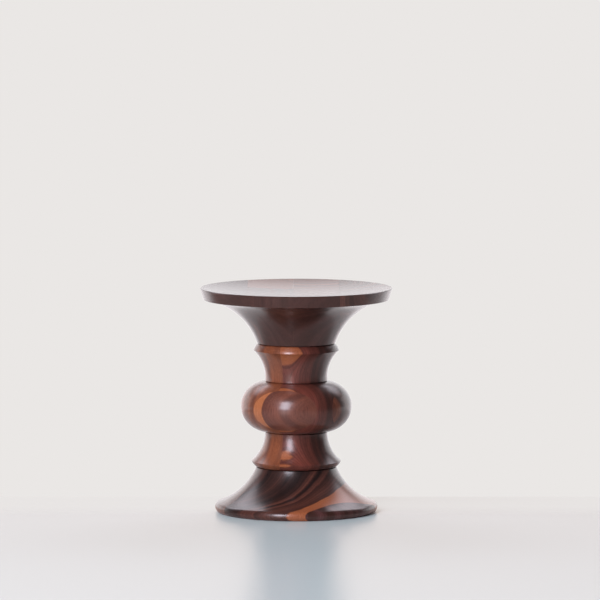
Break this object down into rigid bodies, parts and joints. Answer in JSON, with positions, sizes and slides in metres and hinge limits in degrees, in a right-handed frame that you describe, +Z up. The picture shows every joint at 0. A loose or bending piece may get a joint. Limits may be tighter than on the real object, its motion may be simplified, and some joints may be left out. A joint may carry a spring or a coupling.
{
  "type": "turned wood stool",
  "caption": "Round stool turned from glued walnut: dished seat on a flare, a ball between two necks and rings, and a flared foot with a rounded rim.",
  "frame": {"origin": "on the floor, at the centre of the foot's bounding box, which is the turning axis", "axes": "+Z up along the turning axis, -Y towards the viewer of the picture, +X to the viewer's right"},
  "size_m": [0.3244, 0.3244, 0.38],
  "materials": {
    "seat_walnut": "oiled and polished walnut, satin",
    "middle_walnut": "oiled and polished walnut, satin",
    "base_walnut": "oiled and polished walnut, satin",
    "dowel_beech": "bare turned beech"
  },
  "bodies": {
    "root": {"seat_left_front_block": "seat_walnut", "seat_left_rear_block": "seat_walnut", "seat_inner_left_front_block": "seat_walnut", "seat_inner_left_middle_block": "seat_walnut", "seat_inner_left_rear_block": "seat_walnut", "seat_inner_right_front_block": "seat_walnut", "seat_inner_right_middle_block": "seat_walnut", "seat_inner_right_rear_block": "seat_walnut", "seat_right_front_block": "seat_walnut", "seat_right_rear_block": "seat_walnut", "middle_left_front_block": "middle_walnut", "middle_left_rear_block": "middle_walnut", "middle_right_front_block": "middle_walnut", "middle_right_rear_block": "middle_walnut", "ball_front_cheek": "middle_walnut", "ball_rear_cheek": "middle_walnut", "ball_left_cheek": "middle_walnut", "ball_right_cheek": "middle_walnut", "base_front_edge_block": "base_walnut", "base_front_left_block": "base_walnut", "base_front_right_block": "base_walnut", "base_centre_left_block": "base_walnut", "base_centre_middle_block": "base_walnut", "base_centre_right_block": "base_walnut", "base_rear_left_block": "base_walnut", "base_rear_right_block": "base_walnut", "base_rear_edge_block": "base_walnut", "base_joint_dowel": "dowel_beech", "seat_joint_dowel": "dowel_beech"}
  },
  "joints": []
}
